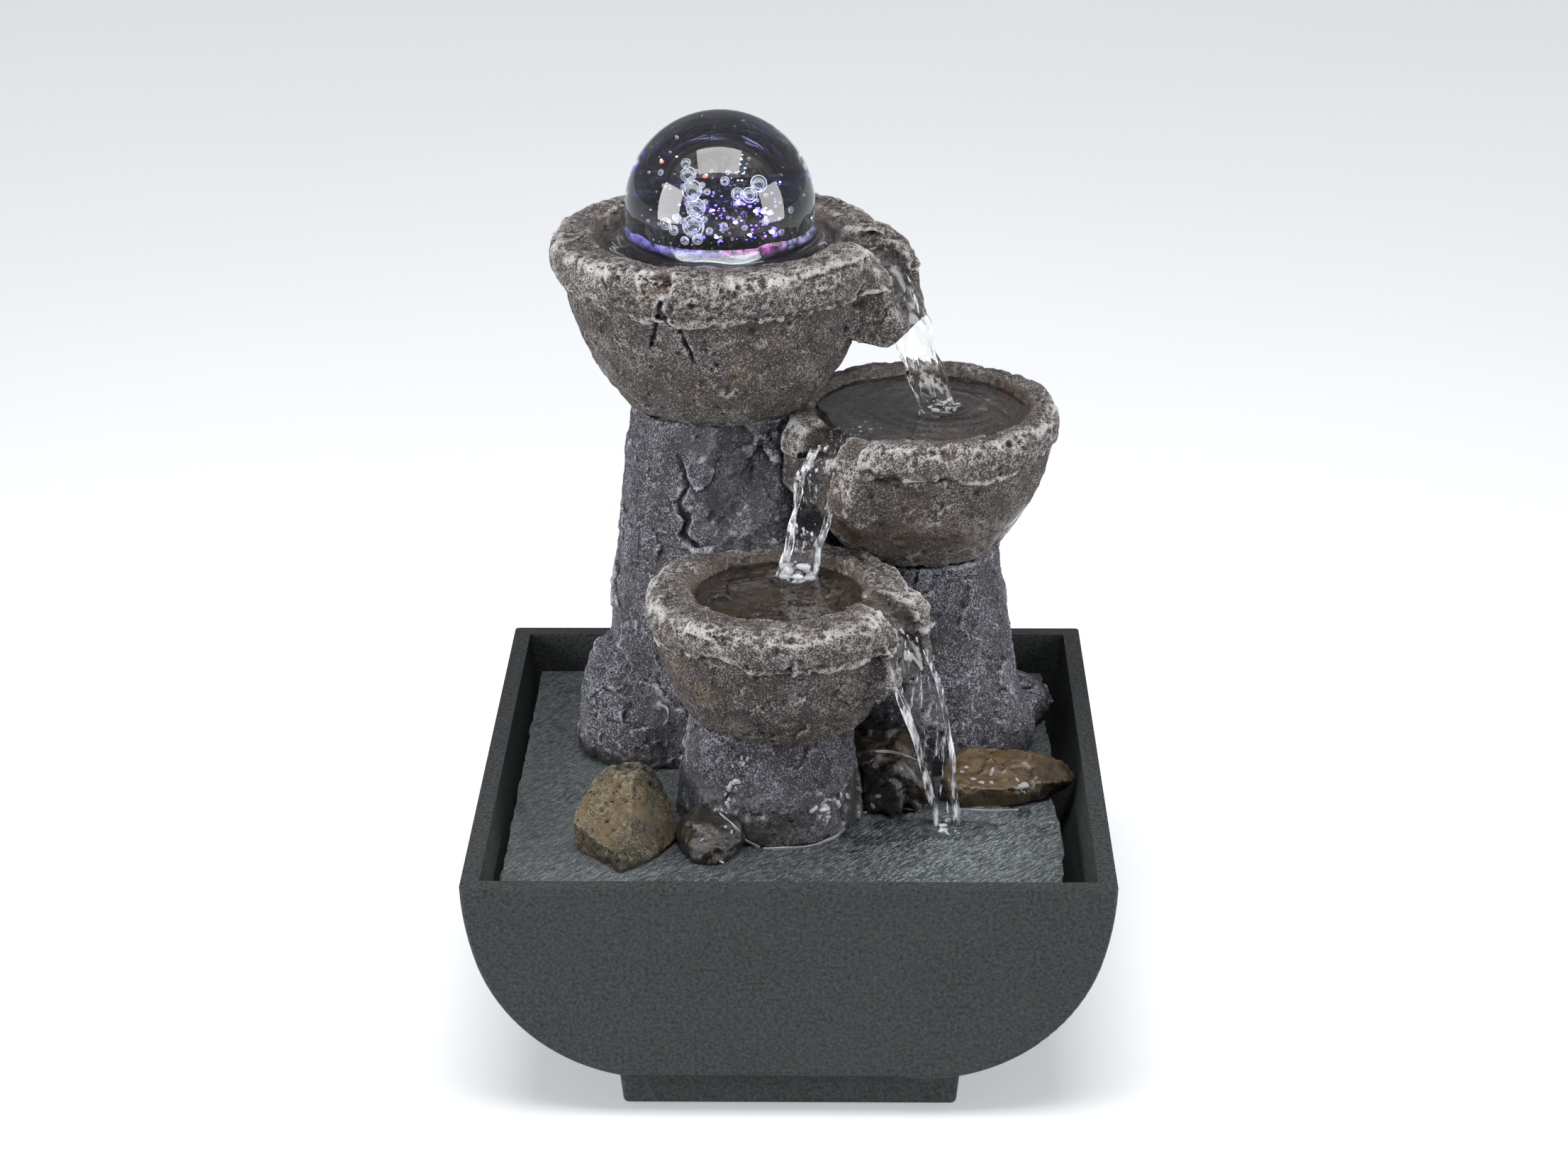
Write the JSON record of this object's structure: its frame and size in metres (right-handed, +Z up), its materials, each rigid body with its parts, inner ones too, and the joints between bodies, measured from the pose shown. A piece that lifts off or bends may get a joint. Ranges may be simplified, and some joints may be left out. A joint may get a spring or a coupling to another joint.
{
  "type": "tabletop water fountain",
  "caption": "Square-tub tabletop fountain: stone bowls on columns spill from one to the next, a glass ball turns on a lit jet, and a pump sits under a lift-out deck.",
  "frame": {"origin": "centre of the base, on the table", "axes": "+Z up, front towards -Y, +X to the right seen from the front"},
  "size_m": [0.1596, 0.16, 0.2261],
  "materials": {
    "tub_plastic": "fine matt texture, black-grey moulding",
    "black_plastic": "satin moulded",
    "pump_plastic": "smooth moulded",
    "impeller_plastic": "smooth moulded, off-white",
    "clear_plastic": "clear acrylic",
    "rubber": "soft matt",
    "lead_sheath": "PVC sheath",
    "hose": "soft silicone tube, grey",
    "plated_pin": "nickel-plated brass",
    "laminated_steel": "stacked laminations",
    "copper_winding": "enamelled copper wire",
    "magnet": "ferrite",
    "ceramic_shaft": "polished ceramic",
    "circuit_board": "coated board",
    "lamp_lens": "clear lamp body",
    "ball_glass": "clear crystal glass with seed bubbles",
    "slate": "riven slate, damp",
    "cast_stone": "pitted grey-brown cast stone with pale dry-brushed edges",
    "wet_stone": "wet dark brown stone",
    "olive_stone": "ochre-brown stone",
    "water": "clear running water, rippled"
  },
  "bodies": {
    "base": {"base_tub": "tub_plastic", "chamber_seal": "rubber", "front_bush": "rubber", "inlet_nut": "black_plastic", "inlet_pin": "plated_pin", "inlet_seal": "rubber", "intake_strainer": "pump_plastic", "lamp_socket": "pump_plastic", "lead_gland": "rubber", "power_inlet": "black_plastic", "pump_chamber": "pump_plastic", "pump_housing": "pump_plastic", "pump_lead": "lead_sheath", "pump_rear_plate": "pump_plastic", "pump_shaft": "ceramic_shaft", "rear_bush": "rubber", "rubber_feet": "rubber", "stator_coil": "copper_winding", "stator_core": "laminated_steel", "suction_feet": "rubber"},
    "impeller_rotor": {"impeller": "impeller_plastic", "rotor_magnet": "magnet"},
    "flow_regulator": {"flow_regulator": "impeller_plastic"},
    "sculpture": {"slate_deck": "slate", "tall_column": "cast_stone", "upper_bowl": "cast_stone", "middle_column": "cast_stone", "middle_bowl": "cast_stone", "lower_column": "cast_stone", "lower_bowl": "cast_stone", "centre_stone": "wet_stone", "brown_stone": "wet_stone", "grey_stone": "cast_stone", "olive_stone": "olive_stone", "small_stone": "wet_stone", "ball_seat": "clear_plastic", "lamp_housing": "pump_plastic", "lamp_board": "circuit_board", "lamps": "lamp_lens", "lamp_cover": "clear_plastic", "lamp_lead": "lead_sheath", "lamp_plug": "black_plastic", "riser_hose": "hose"},
    "glass_ball": {"glass_ball": "ball_glass"}
  },
  "joints": [
    {"name": "sculpture_lift", "type": "slide", "parent": "base", "child": "sculpture", "axis": [0, 0, 1], "range_m": [0, 0.09]},
    {"name": "ball_spin", "type": "hinge", "parent": "sculpture", "child": "glass_ball", "pos_m": [-0.0185, 0.035, 0.2016], "axis": [0, 0, 1], "continuous": true},
    {"name": "impeller_spin", "type": "hinge", "parent": "base", "child": "impeller_rotor", "pos_m": [-0.0185, 0.035, 0.0315], "axis": [0, 1, 0], "continuous": true},
    {"name": "regulator_turn", "type": "hinge", "parent": "base", "child": "flow_regulator", "pos_m": [-0.0185, 0.019, 0.0315], "axis": [0, 1, 0], "range_deg": [0, 80]}
  ]
}
